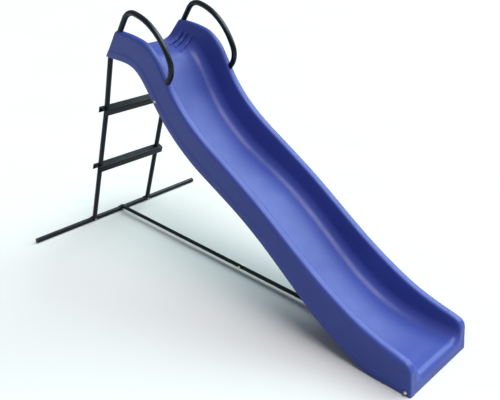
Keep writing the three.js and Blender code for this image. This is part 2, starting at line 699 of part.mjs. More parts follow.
// ================================================================================================
// Handrails
// ================================================================================================
SIDES.forEach(([name, side]) => {
  const y = side * FRAME_HALF;
  const bore = railPath.map((p) => ({ ...p }));
  const stretch = (p, d) => ({ ...p, x: p.x + d * p.dx, z: p.z + d * p.dz });
  bore[0] = stretch(bore[0], -1);
  bore[bore.length - 1] = stretch(railEnd, 1);
  let tube = sweepRod(railPath, y, TUBE_R).subtract(sweepRod(bore, y, TUBE_R - TUBE_WALL, BORE_SIDES));
  const treadBolt = upperTreadAt - TREAD_BOLT_DROP;
  tube = tube.subtract(drill(M6, onLadder(treadBolt, -DRILL_REACH, y), onLadder(treadBolt, DRILL_REACH, y)));
  const backAt = new THREE.Vector3(backX(backBoltZ), y, backBoltZ);
  tube = tube.subtract(drill(M8, backAt, backAt.clone().addScaledVector(backNormal, backCover)));
  const outside = new THREE.Vector3(sideBolt.x, side * (FRAME_HALF + DRILL_REACH), sideBolt.z);
  tube = tube.subtract(drill(M8, outside, new THREE.Vector3(sideBolt.x, y, sideBolt.z)));
  addPart(`handrail_${name}`, tube, COATING);
  const backUnder = backAt.clone().addScaledVector(backNormal, -FIT);
  addPart(`back_bolt_${name}`, bolt(M8, backUnder, backNormal, backCover - M8.shank), ZINC);
  const sideUnder = new THREE.Vector3(sideBolt.x, side * (CHUTE_HALF + FIT), sideBolt.z);
  addPart(`side_bolt_${name}`, bolt(M8, sideUnder, new THREE.Vector3(0, -side, 0), SIDE_BOLT_LENGTH), ZINC);
});

// ================================================================================================
// Ladder uprights, feet and treads
// ================================================================================================
const saddleInner = TUBE_R + FIT;
const saddleOuter = saddleInner + SADDLE_SHEET;

function upright(side) {
  const y = side * FRAME_HALF;
  const bore = TUBE_R - TUBE_WALL;
  const neck = bore - SPIGOT_FIT;
  const shoulder = jointAt - FIT;
  const profile = [
    [bore, 4],
    [TUBE_R, 4],
    [TUBE_R, shoulder - 3],
    [neck, shoulder],
    [neck, shoulder + SPIGOT],
    [neck - TUBE_WALL, shoulder + SPIGOT],
    [neck - TUBE_WALL, shoulder - 2],
    [bore, shoulder - 6],
    [bore, 4],
  ];
  let tube = turned(profile, onLadder(0, 0, y), ladderAxis, TUBE_SIDES);
  const foot = new THREE.Vector3(0, y, TUBE_R);
  const aside = new THREE.Vector3(0, DRILL_REACH, 0);
  tube = tube.subtract(rod(foot.clone().sub(aside), foot.clone().add(aside), saddleOuter + FIT, ROUND_SIDES));
  [LOWER_TREAD_AT, upperTreadAt].forEach((at) => {
    const along = at - TREAD_BOLT_DROP;
    tube = tube.subtract(drill(M6, onLadder(along, -DRILL_REACH, y), onLadder(along, DRILL_REACH, y)));
  });
  return tube;
}

// Part of a sleeve round a bar that runs along Y, between two angles from +X towards +Z.
function saddle(centre, half, [from, to]) {
  const ring = (radius) =>
    Array.from({ length: SADDLE_STEPS + 1 }, (_, i) => {
      const a = rad(from + ((to - from) * i) / SADDLE_STEPS);
      return new THREE.Vector2(radius * Math.cos(a), radius * Math.sin(a));
    });
  const outline = [...ring(saddleOuter), ...ring(saddleInner).reverse()];
  const origin = new THREE.Vector3(centre.x, centre.y + half, centre.z);
  return slab(outline, [], 2 * half, origin, X, Z);
}

SIDES.forEach(([name, side]) => {
  const y = side * FRAME_HALF;
  const centre = new THREE.Vector3(0, y, TUBE_R);
  addPart(`upright_${name}`, upright(side), COATING);
  const holder = saddle(centre, FOOT_SADDLE_HALF, FOOT_SADDLE_ARC);
  const through = [-DRILL_REACH, DRILL_REACH].map((x) => new THREE.Vector3(x, y, FOOT_BOLT_HEIGHT));
  addPart(`foot_saddle_${name}`, holder.subtract(drill(M6, ...through)), COATING);
  const under = new THREE.Vector3(TUBE_R + FIT, y, FOOT_BOLT_HEIGHT);
  const footBoltLength = 2 * TUBE_R + SADDLE_SHEET + THREAD_OUT + 1;
  addPart(`foot_bolt_${name}`, bolt(M6, under, X.clone().negate(), footBoltLength), ZINC);
  const behind = new THREE.Vector3(-saddleOuter - FIT, y, FOOT_BOLT_HEIGHT);
  addPart(`foot_nut_${name}`, nut(M6, behind, X.clone().negate()), ZINC);
});

// Channel with its open side down: a ribbed top and two flanges.
function treadOutline() {
  const half = TREAD_DEPTH / 2;
  const points = [];
  const corner = (cx, cy, radius, from, to) => {
    for (let i = 0; i <= 3; i++) {
      const a = rad(from + ((to - from) * i) / 3);
      points.push(new THREE.Vector2(cx + radius * Math.cos(a), cy + radius * Math.sin(a)));
    }
  };
  points.push(new THREE.Vector2(half, -TREAD_HEIGHT));
  corner(half - TREAD_CORNER, -TREAD_CORNER, TREAD_CORNER, 0, 90);
  const ribPitch = (TREAD_DEPTH - 2 * (TREAD_CORNER + TREAD_EDGE)) / TREAD_RIBS;
  const ribFoot = (ribPitch * TREAD_RIB_FOOT) / 2;
  const ribTop = (ribPitch * TREAD_RIB_TOP) / 2;
  for (let i = TREAD_RIBS - 1; i >= 0; i--) {
    const middle = (i - (TREAD_RIBS - 1) / 2) * ribPitch;
    points.push(new THREE.Vector2(middle + ribFoot, 0));
    points.push(new THREE.Vector2(middle + ribTop, TREAD_RIB_HEIGHT));
    points.push(new THREE.Vector2(middle - ribTop, TREAD_RIB_HEIGHT));
    points.push(new THREE.Vector2(middle - ribFoot, 0));
  }
  corner(-half + TREAD_CORNER, -TREAD_CORNER, TREAD_CORNER, 90, 180);
  points.push(new THREE.Vector2(-half, -TREAD_HEIGHT));
  points.push(new THREE.Vector2(-half + TREAD_SHEET, -TREAD_HEIGHT));
  corner(-half + TREAD_CORNER, -TREAD_CORNER, TREAD_CORNER - TREAD_SHEET, 180, 90);
  corner(half - TREAD_CORNER, -TREAD_CORNER, TREAD_CORNER - TREAD_SHEET, 90, 0);
  points.push(new THREE.Vector2(half - TREAD_SHEET, -TREAD_HEIGHT));
  return points;
}

const acrossLadder = onLadder(0, 1, 0).sub(onLadder(0, 0, 0));
const SHEET_REACH = 3; // how far a tread's cutting tools go past its sheet

[["lower", LOWER_TREAD_AT], ["upper", upperTreadAt]].forEach(([name, at]) => {
  const origin = onLadder(at, 0, TREAD_HALF);
  let tread = slab(treadOutline(), [], 2 * TREAD_HALF, origin, acrossLadder, ladderAxis);
  SIDES.forEach(([sideName, side]) => {
    const y = side * FRAME_HALF;
    const tubeHole = [-TREAD_CORNER, TREAD_CORNER].map((d) => onLadder(at + d, 0, y));
    tread = tread.subtract(rod(...tubeHole, TUBE_R + 1.5 * FIT));
    const along = at - TREAD_BOLT_DROP;
    const flange = -TREAD_DEPTH / 2;
    const back = onLadder(along, flange - FIT, y);
    const holeEnds = [flange - SHEET_REACH, flange + TREAD_SHEET + SHEET_REACH];
    tread = tread.subtract(drill(M6, ...holeEnds.map((d) => onLadder(along, d, y))));
    const length = TREAD_DEPTH / 2 + TUBE_R + THREAD_OUT - 1;
    addPart(`${name}_tread_bolt_${sideName}`, bolt(M6, back, acrossLadder, length), ZINC);
    addPart(`${name}_tread_nut_${sideName}`, nut(M6, onLadder(along, TUBE_R + FIT, y), acrossLadder), ZINC);
  });
  addPart(`${name}_tread`, tread, COATING);
});

// ================================================================================================
// Base bar, its end caps, the ground tie and the cross bar
// ================================================================================================
const barAt = (y) => new THREE.Vector3(0, y, TUBE_R);
let bar = rod(barAt(-BASE_HALF), barAt(BASE_HALF), TUBE_R).subtract(
  rod(barAt(-BASE_HALF - 1), barAt(BASE_HALF + 1), TUBE_R - TUBE_WALL, BORE_SIDES),
);
const barBolts = [[-FRAME_HALF, FOOT_BOLT_HEIGHT], [0, SADDLE_BOLT_HEIGHT], [FRAME_HALF, FOOT_BOLT_HEIGHT]];
barBolts.forEach(([y, z]) => {
  bar = bar.subtract(drill(M6, new THREE.Vector3(-DRILL_REACH, y, z), new THREE.Vector3(DRILL_REACH, y, z)));
});
addPart("base_bar", bar, COATING);

SIDES.forEach(([name, side]) => {
  const inside = TUBE_R - TUBE_WALL - SPIGOT_FIT;
  const profile = [
    [0, -CAP_PLUG],
    [inside, -CAP_PLUG],
    [inside, FIT],
    [TUBE_R, FIT],
    [TUBE_R, FIT + CAP_LENGTH / 2],
    [TUBE_R - CAP_CHAMFER, FIT + CAP_LENGTH],
    [0, FIT + CAP_LENGTH],
  ];
  const outward = new THREE.Vector3(0, side, 0);
  addPart(`base_bar_cap_${name}`, turned(profile, barAt(side * BASE_HALF), outward, TUBE_SIDES), CAP_PLASTIC);
});

const tieStart = new THREE.Vector3(0, 0, TIE_BACK_HEIGHT);
const tieFinish = new THREE.Vector3(CROSS_X, 0, CROSS_HEIGHT);
const tieAxis = new THREE.Vector3().subVectors(tieFinish, tieStart).normalize();
const onTie = (x) => tieStart.clone().addScaledVector(tieAxis, x / tieAxis.x);
const tieBolt = onTie(TIE_BOLT_X);
const crossAt = (y) => new THREE.Vector3(CROSS_X, y, CROSS_HEIGHT);
const alongY = (point, d) => point.clone().addScaledVector(Y, d);
const tieDrill = drill(M6, alongY(tieBolt, -DRILL_REACH), alongY(tieBolt, DRILL_REACH));
const saddleHole = [-DRILL_REACH, DRILL_REACH].map((x) => new THREE.Vector3(x, 0, SADDLE_BOLT_HEIGHT));

const tieSaddle = saddle(barAt(0), TIE_SADDLE_HALF, TIE_SADDLE_ARC);
addPart("tie_saddle", tieSaddle.subtract(drill(M6, ...saddleHole)), COATING);

const backTie = rod(onTie(4), onTie(TIE_JOINT_X), TIE_R)
  .subtract(rod(onTie(2), onTie(TIE_JOINT_X + 2), TIE_R - TIE_WALL, BORE_SIDES))
  .subtract(rod(barAt(-DRILL_REACH), barAt(DRILL_REACH), saddleOuter + FIT, ROUND_SIDES))
  .subtract(tieDrill);
addPart("tie_tube_back", backTie, COATING);

function frontTie() {
  const neck = TIE_R - TIE_WALL - SPIGOT_FIT;
  const start = onTie(TIE_JOINT_X + FIT);
  const length = onTie(CROSS_X).distanceTo(start);
  const profile = [
    [neck - TIE_WALL, -TIE_OVERLAP],
    [neck, -TIE_OVERLAP],
    [neck, 0],
    [TIE_R, 4],
    [TIE_R, length],
    [TIE_R - TIE_WALL, length],
    [TIE_R - TIE_WALL, 6],
    [neck - TIE_WALL, 0],
    [neck - TIE_WALL, -TIE_OVERLAP],
  ];
  const crossCut = rod(crossAt(-DRILL_REACH), crossAt(DRILL_REACH), CROSS_R + FIT, ROUND_SIDES);
  return turned(profile, start, tieAxis, TUBE_SIDES).subtract(crossCut).subtract(tieDrill);
}
addPart("tie_tube_front", frontTie(), COATING);

addPart("tie_bolt", bolt(M6, alongY(tieBolt, -TIE_R - FIT), Y, 2 * TIE_R + THREAD_OUT), ZINC);
addPart("tie_nut", nut(M6, alongY(tieBolt, TIE_R + FIT), Y), ZINC);

const saddleBoltAt = new THREE.Vector3(saddleOuter + FIT, 0, SADDLE_BOLT_HEIGHT);
const saddleBoltLength = saddleOuter + TUBE_R + THREAD_OUT;
addPart("tie_saddle_bolt", bolt(M6, saddleBoltAt, X.clone().negate(), saddleBoltLength), ZINC);
const saddleNutAt = new THREE.Vector3(-TUBE_R - FIT, 0, SADDLE_BOLT_HEIGHT);
addPart("tie_saddle_nut", nut(M6, saddleNutAt, X.clone().negate()), ZINC);

const crossBore = M8.shank + BOLT_FIT;
addPart("cross_bar", rod(crossAt(-crossHalf), crossAt(crossHalf), CROSS_R).subtract(
  rod(crossAt(-crossHalf - 1), crossAt(crossHalf + 1), crossBore, SHANK_SIDES),
), COATING);

SIDES.forEach(([name, side]) => {
  const under = crossAt(side * (CHUTE_HALF + FIT));
  addPart(`front_bolt_${name}`, bolt(M8, under, new THREE.Vector3(0, -side, 0), FRONT_BOLT_LENGTH), ZINC);
});

// ================================================================================================
// Origin: middle of the footprint, on the ground
// ================================================================================================
const size = new THREE.Box3().setFromObject(assembly);
const shift = new THREE.Vector3(-(size.min.x + size.max.x) / 2, 0, -size.min.z);
assembly.children.forEach((part) => part.geometry.translate(shift.x, shift.y, shift.z));

export default assembly;
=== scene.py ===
import math

import bmesh
import bpy
from mathutils import Matrix, Vector


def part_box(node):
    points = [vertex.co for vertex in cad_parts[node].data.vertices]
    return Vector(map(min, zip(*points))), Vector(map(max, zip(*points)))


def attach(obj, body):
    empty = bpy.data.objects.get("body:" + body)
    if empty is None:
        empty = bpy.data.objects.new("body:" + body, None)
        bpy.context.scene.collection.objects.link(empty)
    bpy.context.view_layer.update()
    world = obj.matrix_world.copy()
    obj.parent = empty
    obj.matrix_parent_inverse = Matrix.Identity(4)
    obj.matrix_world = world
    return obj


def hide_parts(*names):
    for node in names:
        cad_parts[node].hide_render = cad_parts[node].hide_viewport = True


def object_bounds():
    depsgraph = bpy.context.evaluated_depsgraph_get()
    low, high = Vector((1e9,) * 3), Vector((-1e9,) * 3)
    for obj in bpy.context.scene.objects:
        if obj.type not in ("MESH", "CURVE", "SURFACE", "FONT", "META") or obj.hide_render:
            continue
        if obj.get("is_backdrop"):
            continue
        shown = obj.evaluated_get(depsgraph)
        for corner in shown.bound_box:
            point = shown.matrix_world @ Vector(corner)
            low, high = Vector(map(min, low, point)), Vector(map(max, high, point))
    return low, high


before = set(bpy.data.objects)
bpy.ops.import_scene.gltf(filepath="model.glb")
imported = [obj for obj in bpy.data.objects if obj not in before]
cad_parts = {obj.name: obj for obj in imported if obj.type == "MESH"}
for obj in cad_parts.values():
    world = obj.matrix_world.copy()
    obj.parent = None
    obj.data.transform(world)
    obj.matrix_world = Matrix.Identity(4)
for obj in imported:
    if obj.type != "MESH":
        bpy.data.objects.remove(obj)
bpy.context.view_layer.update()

# ---- Where things are ---------------------------------------------------------------------------
# The slide is laid out in millimetres from the middle of its base bar: X runs from the ladder to
# the run-out, Y across, Z up from the ground. The base bar tells where that is in the frame.
bar_low, bar_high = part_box("base_bar")
BAR_X = (bar_low[0] + bar_high[0]) / 2


def spot(x, y, z):
    return Vector((BAR_X + x / 1000, y / 1000, z / 1000))


# ---- Camera -------------------------------------------------------------------------------------
# A little above a person's eye level, in front of the run-out and on the rider's right, looking
# down at the slide.
HEADING = math.radians(45.19)
DOWNWARD = math.radians(25.51)
ROLL = math.radians(-1.34)
SENSOR_WIDTH = 36
LENS = 45.82
CAMERA_PLACE = (3637.75, -2286.82, 2052.04)
forward = Vector(
    (-math.sin(HEADING) * math.cos(DOWNWARD), math.cos(HEADING) * math.cos(DOWNWARD), -math.sin(DOWNWARD))
)
level_right = forward.cross(Vector((0, 0, 1))).normalized()
level_up = level_right.cross(forward)
camera_right = math.cos(ROLL) * level_right + math.sin(ROLL) * level_up
camera_up = -math.sin(ROLL) * level_right + math.cos(ROLL) * level_up
camera_data = bpy.data.cameras.new("camera")
camera_data.sensor_width = SENSOR_WIDTH
camera_data.lens = LENS
camera = bpy.data.objects.new("camera", camera_data)
bpy.context.scene.collection.objects.link(camera)
turn = Matrix((camera_right, camera_up, -forward)).transposed().to_4x4()
camera.matrix_world = Matrix.Translation(spot(*CAMERA_PLACE)) @ turn
bpy.context.scene.camera = camera
bpy.context.scene.view_settings.view_transform = "Standard"


# ---- Light --------------------------------------------------------------------------------------
# A bright hazy sky: a soft sun, high and towards the run-out, a wide pale glow half-way up behind
# the rider's left side that the bed mirrors, and an even surround.
def add_sun(name, angle, energy, color, direction):
    data = bpy.data.lights.new(name, "SUN")
    data.angle = math.radians(angle)
    data.energy = energy
    data.color = color
    sun = bpy.data.objects.new(name, data)
    sun.rotation_euler = Vector(direction).to_track_quat("-Z", "Y").to_euler()
    bpy.context.scene.collection.objects.link(sun)


add_sun("haze_sun", 40, 3.7, (0.99, 0.98, 0.98), (-0.42, 0.0, -1.0))
add_sun("sky_glow", 52, 4.3, (0.80, 1.0, 0.96), (-0.20, -0.66, -0.66))
surround = bpy.data.worlds.new("surround")
surround.use_nodes = True
surround.node_tree.nodes["Background"].inputs["Color"].default_value = (0.84, 0.92, 1.0, 1)
surround.node_tree.nodes["Background"].inputs["Strength"].default_value = 0.38
bpy.context.scene.world = surround


# ---- Floor --------------------------------------------------------------------------------------
# A plain pale floor, wide enough to fill the view behind the slide.
class Finish:
    """One material and the few node steps that its surface is made of."""

    def __init__(self, name):
        self.material = bpy.data.materials.new(name)
        self.material.use_nodes = True
        self.tree = self.material.node_tree
        self.shader = self.tree.nodes["Principled BSDF"]
        self.place = self.add("ShaderNodeTexCoord").outputs["Object"]

    def add(self, kind, **settings):
        node = self.tree.nodes.new(kind)
        for key, value in settings.items():
            setattr(node, key, value)
        return node

    def join(self, source, target):
        self.tree.links.new(source, target)

    def speckle(self, scale, detail=3.0, stretch=None):
        """Cloudy noise, per metre; stretch squeezes it along X, Y and Z."""
        source = self.place
        if stretch:
            mapping = self.add("ShaderNodeMapping")
            mapping.inputs["Scale"].default_value = stretch
            self.join(self.place, mapping.inputs["Vector"])
            source = mapping.outputs["Vector"]
        noise = self.add("ShaderNodeTexNoise")
        noise.inputs["Scale"].default_value = scale
        noise.inputs["Detail"].default_value = detail
        self.join(source, noise.inputs["Vector"])
        return noise.outputs["Fac"]

    def between(self, amount, low, high, start=0.3, stop=0.7):
        """The amount, from start to stop, spread from low to high."""
        spread = self.add("ShaderNodeMapRange")
        spread.inputs["From Min"].default_value = start
        spread.inputs["From Max"].default_value = stop
        spread.inputs["To Min"].default_value = low
        spread.inputs["To Max"].default_value = high
        self.join(amount, spread.inputs["Value"])
        return spread.outputs["Result"]

    def blend(self, amount, first, second):
        """A colour between two, each a colour or the output of another step."""
        mix = self.add("ShaderNodeMix", data_type="RGBA")
        self.join(amount, mix.inputs["Factor"])
        for key, value in (("A", first), ("B", second)):
            socket = next(s for s in mix.inputs if s.name == key and s.type == "RGBA")
            if isinstance(value, tuple):
                socket.default_value = (*value, 1)
            else:
                self.join(value, socket)
        return next(s for s in mix.outputs if s.type == "RGBA")

    def bumps(self, *layers):
        """Fine relief: each layer is a height and its depth in metres, laid one on another."""
        normal = None
        for height, depth in layers:
            bump = self.add("ShaderNodeBump")
            bump.inputs["Distance"].default_value = depth
            bump.inputs["Strength"].default_value = 1.0
            self.join(height, bump.inputs["Height"])
            if normal:
                self.join(normal, bump.inputs["Normal"])
            normal = bump.outputs["Normal"]
        self.join(normal, self.shader.inputs["Normal"])


FLOOR_HALF = 40.0
FLOOR_SINK = 0.0006
floor_finish = Finish("floor_pale")
floor_tone = floor_finish.blend(floor_finish.speckle(0.7), (0.44, 0.44, 0.44), (0.47, 0.47, 0.47))
floor_finish.join(floor_tone, floor_finish.shader.inputs["Base Color"])
floor_finish.shader.inputs["Roughness"].default_value = 0.9
floor_mesh = bpy.data.meshes.new("floor")
corners = [(x * FLOOR_HALF, y * FLOOR_HALF) for x, y in ((-1, -1), (1, -1), (1, 1), (-1, 1))]
floor_mesh.from_pydata([(x, y, -FLOOR_SINK) for x, y in corners], [], [(0, 1, 2, 3)])
floor_mesh.materials.append(floor_finish.material)
floor = bpy.data.objects.new("floor", floor_mesh)
bpy.context.scene.collection.objects.link(floor)
floor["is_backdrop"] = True


# ---- Chute --------------------------------------------------------------------------------------
# One blow-moulded piece of blue polyethylene, a closed double skin: a wavy bed between two hollow
# side walls with rounded rims. Its skin is glossy with a faint orange peel, and long fine scuffs
# run down the bed where people slide.
def chute_plastic():
    finish = Finish("chute_plastic")
    deep = (0.029, 0.044, 0.214)
    light = (0.034, 0.052, 0.243)
    tone = finish.blend(finish.between(finish.speckle(2.2, 4.0), 0, 1), deep, light)
    scuffs = finish.between(finish.speckle(9.0, 6.0, (1.0, 26.0, 1.0)), 0, 1, 0.62, 0.80)
    faint = finish.add("ShaderNodeMath", operation="MULTIPLY")
    finish.join(scuffs, faint.inputs[0])
    faint.inputs[1].default_value = 0.22
    tone = finish.blend(faint.outputs[0], tone, (0.085, 0.115, 0.33))
    finish.join(tone, finish.shader.inputs["Base Color"])
    cloud = finish.speckle(14.0, 4.0)
    rough = finish.between(cloud, 0.30, 0.42)
    finish.join(rough, finish.shader.inputs["Roughness"])
    finish.shader.inputs["IOR"].default_value = 1.5
    finish.shader.inputs["Specular IOR Level"].default_value = 0.20
    finish.bumps(
        (finish.speckle(3.5, 2.0), 0.0022),
        (finish.speckle(420.0, 2.0), 0.00006),
        (finish.speckle(30.0, 5.0, (1.0, 22.0, 1.0)), 0.00008),
    )
    return finish.material


CHUTE_HALF = 251.0
BAND_STEP = 1.8
BAND_HEIGHT = 45.0
INNER_HALF = 203.0
DRAFT = 0.165
FILLET = 65.0
RIM_OUTER = 19.0
RIM_INNER = 15.0
RIM_DRAW = 4.0
FLARE = 8.0
FLARE_FROM = 700.0
FLARE_TO = 950.0
BED_THICK = 8.0
FOOT_WIDTH = 34.0
FOOT_SLOPE = 0.35
BACK_ROUND = 8.0
END_ROUND = 12.0
INNER_DRAW = 5.0
PANEL = 9.0
PANEL_LIP = 2.0
FILLET_SHARE = 0.62
BAND_BELOW_RIM = 6.0
EDGE_ROUND = 4.0
BED_STEPS = 6
FILLET_STEPS = 14
RIM_INNER_STEPS = 8
RIM_OUTER_STEPS = 10
BACK_SECTIONS = (0, 0.6, 1.6, 3, 5, 7, PANEL - 0.5, PANEL)
FIRST_SECTION = 0.25
SECTION_PITCH = 1 / 6
LAST_GAP = 1.05
END_STEPS = 26
END_SECTIONS = (12, 10.5, 9.1, 8.9, 7, 5, 3.2, 1.8, 0.8, 0.2, 0)
RIB_PLACES = (566, 612, 660)
RIB_STEPS = 36
RIB_SWEEP = 44.0
RIB_SWEEP_POWER = 1.5
RIB_BOW = 10.0
RIB_BED_RUN = 46.0
RIB_WALL_RUN = 8.0
RIB_HEIGHT = 14.0
RIB_WIDTH = 20.0
RIB_TIP = 0.04
RIB_TIP_WIDTH = 0.35
RIB_SWELL_POWER = 0.6
RIB_PROFILE = (
    (-1.7, -1.5),
    (-1.0, 0.28),
    (-0.45, 0.75),
    (-0.1, 1.0),
    (0.10, 0.9),
    (0.14, 0.4),
    (0.15, -1.5),
)
HALVINGS = 14
MERGE_DISTANCE = 1e-6
CHUTE_END = 2576.0
CORNER_ROUND = 52.0
NOSE_ROUND = 38.0
BED_END_HEIGHT = 76.0
END_ZONE = 2517.0
END_RIM_HEIGHT = 179.0
END_RIM_FALL = 0.28
END_LEAN = -5.0
NOTCH_AT = 2429.0
NOTCH_LENGTH = 65.0
NOTCH_HEIGHT = 8.0
BACK_LEAN = 37.6
BACK_FOOT = (438.77, 1249.64)
BACK_BED_HEIGHT = 1262.0


def back_x(z):
    return BACK_FOOT[0] + (z - BACK_FOOT[1]) * math.tan(math.radians(BACK_LEAN))


def along_end(*heights):
    """Heights, measured along the front face's lean."""
    return [height / math.cos(math.radians(END_LEAN)) for height in heights]


# Bed point x and z, lean of the section in degrees, rim above the bed, lower edge below the bed.
chute_lines = [
    (back_x(BACK_BED_HEIGHT), BACK_BED_HEIGHT, BACK_LEAN, 160, 44),
    (540, 1264, 28, 138, 48),
    (610, 1261, 21, 129, 46),
    (670, 1248, 24, 134, 43),
    (725, 1218, 34, 153, 38),
    (776, 1168, 45, 163, 33),
    (826, 1097, 52, 158, 28),
    (888, 1006, 52, 157, 24),
    (968, 910, 48, 160, 19),
    (1062, 826, 43, 161, 17),
    (1172, 748, 36, 161, 16),
    (1290, 686, 30, 153, 18),
    (1410, 626, 28, 143, 21),
    (1530, 558, 31, 137, 21),
    (1650, 477, 36, 136, 19),
    (1770, 386, 38, 141, 18),
    (1890, 292, 37, 151, 19),
    (2010, 209, 33, 159, 27),
    (2130, 147, 27, 156, 42),
    (2250, 107, 20, 143, 63),
    (2370, 86, 13, 125, 86 / math.cos(math.radians(13))),
    (2479, 77.5, 6, 107, 77.5 / math.cos(math.radians(6))),
    (END_ZONE, BED_END_HEIGHT, END_LEAN, *along_end(END_RIM_HEIGHT - BED_END_HEIGHT, BED_END_HEIGHT)),
]


def draw_in(distance, radius):
    left = max(0.0, radius - distance)
    return radius - math.sqrt(radius * radius - left * left)


def line_at(t):
    """A section of the chute at place t, counted along chute_lines, on a smooth curve through them."""
    i = min(int(t), len(chute_lines) - 2)
    f = t - i
    rows = [chute_lines[min(max(i + k, 0), len(chute_lines) - 1)] for k in (-1, 0, 1, 2)]
    x, z, lean, up, down = (
        b + 0.5 * f * (c - a + f * (2 * a - 5 * b + 4 * c - d + f * (3 * (b - c) + d - a)))
        for a, b, c, d in zip(*rows)
    )
    down = min(down, z / math.cos(math.radians(lean)))
    past = x - down * math.sin(math.radians(lean)) - NOTCH_AT
    if 0 < past < NOTCH_LENGTH:
        down -= NOTCH_HEIGHT * (1 - past / NOTCH_LENGTH)
    fade = min(1.0, max(0.0, (FLARE_TO - x) / (FLARE_TO - FLARE_FROM)))
    inner = INNER_HALF + FLARE * fade * fade * (3 - 2 * fade)
    line = {"x": x, "z": z, "lean": lean, "up": up, "down": down}
    return {**line, "inner": inner, "inset": 0.0, "under": BED_THICK}


def end_line(x):
    """A section where the walls' top corners and the bed's lip round off at the front."""
    tilt = math.atan(END_RIM_FALL)
    corner_x = CHUTE_END - CORNER_ROUND
    corner_z = END_RIM_HEIGHT - END_RIM_FALL * (corner_x - END_ZONE) - CORNER_ROUND / math.cos(tilt)
    if x < corner_x + CORNER_ROUND * math.sin(tilt):
        rim = END_RIM_HEIGHT - END_RIM_FALL * (x - END_ZONE)
    else:
        rim = corner_z + math.sqrt(max(0.0, CORNER_ROUND**2 - (x - corner_x) ** 2))
    over_nose = max(0.0, x - (CHUTE_END - NOSE_ROUND))
    bed = BED_END_HEIGHT - NOSE_ROUND + math.sqrt(max(0.0, NOSE_ROUND**2 - over_nose**2))
    up, down = along_end(rim - bed, bed)
    under = BED_THICK if x < CHUTE_END - PANEL else down - PANEL_LIP
    inset = draw_in(CHUTE_END - x, END_ROUND)
    line = {"x": x, "z": bed, "lean": END_LEAN, "up": up, "down": down}
    return {**line, "inner": INNER_HALF, "inset": inset, "under": under}


def half_outline(line):
    """(across, above the bed) from the middle of the bed over the rim to the underside's middle."""
    e = line["inset"]
    up = line["up"]
    top = up - min(e, RIM_DRAW)
    drawn = min(e, INNER_DRAW)
    rim_outer = RIM_OUTER - drawn
    rim_inner = RIM_INNER - drawn
    fillet = min(FILLET, up * FILLET_SHARE)
    slant = math.atan(DRAFT)

    def inner(h):
        return line["inner"] + drawn - DRAFT * (up - h)

    centre = inner(fillet) - fillet / math.cos(slant)
    points = [(centre * k / BED_STEPS, 0.0) for k in range(BED_STEPS)]

    def arc(y, h, radius, start, stop, steps):
        for k in range(steps + 1):
            a = math.radians(start + (stop - start) * k / steps)
            points.append((y + radius * math.cos(a), h + radius * math.sin(a)))

    arc(centre, fillet, fillet, -90, -math.degrees(slant), FILLET_STEPS)
    wall_top = top - rim_inner
    for k in (1, 2):
        h = fillet - fillet * math.sin(slant) + (wall_top - fillet) * k / 3
        points.append((inner(h), h))
    rim_centre = inner(wall_top) + rim_inner / math.cos(slant)
    arc(rim_centre, wall_top, rim_inner, 180 - math.degrees(slant), 90, RIM_INNER_STEPS)
    wall = CHUTE_HALF - BAND_STEP - e
    arc(wall - rim_outer, top - rim_outer, rim_outer, 90, 0, RIM_OUTER_STEPS)
    edge = -line["down"]
    band = min(edge + BAND_HEIGHT, top - rim_outer - BAND_BELOW_RIM)
    for k in (1, 2, 3):
        points.append((wall, top - rim_outer + (band + BAND_STEP - top + rim_outer) * k / 4))
    points.append((wall, band + 2 * BAND_STEP))
    points.append((wall + 0.2 * BAND_STEP, band + 0.9 * BAND_STEP))
    points.append((CHUTE_HALF - e - 0.15 * BAND_STEP, band))
    points.append((CHUTE_HALF - e, band - 1.5))
    for k in (0, 45, 90):
        a = math.radians(k)
        across = CHUTE_HALF - e - EDGE_ROUND + EDGE_ROUND * math.cos(a)
        points.append((across, edge + EDGE_ROUND - EDGE_ROUND * math.sin(a)))
    foot = CHUTE_HALF - FOOT_WIDTH
    points.append((foot, edge))
    points.append((foot - FOOT_SLOPE * (line["down"] - line["under"]), -line["under"]))
    points.append((0.0, -line["under"]))
    return points


def chute_sections():
    sections = []
    reach = line_at(1)["x"] - chute_lines[0][0]
    for d in BACK_SECTIONS:
        line = line_at(d / reach)
        line["inset"] = draw_in(d * math.cos(math.radians(BACK_LEAN)), BACK_ROUND)
        if d < PANEL:
            line["under"] = line["down"] - PANEL_LIP
        sections.append(line)
    t = FIRST_SECTION
    while t < len(chute_lines) - LAST_GAP:
        sections.append(line_at(t))
        t += SECTION_PITCH
    span = CHUTE_END - END_SECTIONS[0] - END_ZONE
    sections += [end_line(END_ZONE + span * k / END_STEPS) for k in range(END_STEPS)]
    sections += [end_line(CHUTE_END - d) for d in END_SECTIONS]
    return sections


def along_line(line, across, above):
    a = math.radians(line["lean"])
    return spot(line["x"] + above * math.sin(a), across, line["z"] + above * math.cos(a))


def finish_piece(name, build, material, nodes, sharp=32):
    """Makes an object of a bmesh, smooth but for its edges, and puts it in place of its CAD nodes."""
    bmesh.ops.remove_doubles(build, verts=build.verts, dist=MERGE_DISTANCE)
    bmesh.ops.recalc_face_normals(build, faces=build.faces)
    for face in build.faces:
        face.smooth = True
    for edge in build.edges:
        if len(edge.link_faces) == 2 and edge.calc_face_angle() > math.radians(sharp):
            edge.smooth = False
    mesh = bpy.data.meshes.new(name)
    build.to_mesh(mesh)
    build.free()
    mesh.materials.append(material)
    piece = bpy.data.objects.new(name, mesh)
    bpy.context.scene.collection.objects.link(piece)
    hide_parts(*nodes)
    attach(piece, "root")
    return piece


def skin_rings(build, rings, closed_ends=True):
    """Joins rings of points, each closed on itself, into a skin."""
    rows = [[build.verts.new(p) for p in ring] for ring in rings]
    count = len(rows[0])
    for low, high in zip(rows, rows[1:]):
        for i in range(count):
            j = (i + 1) % count
            build.faces.new((low[i], low[j], high[j], high[i]))
    if closed_ends:
        build.faces.new(rows[0][::-1])
        build.faces.new(rows[-1])


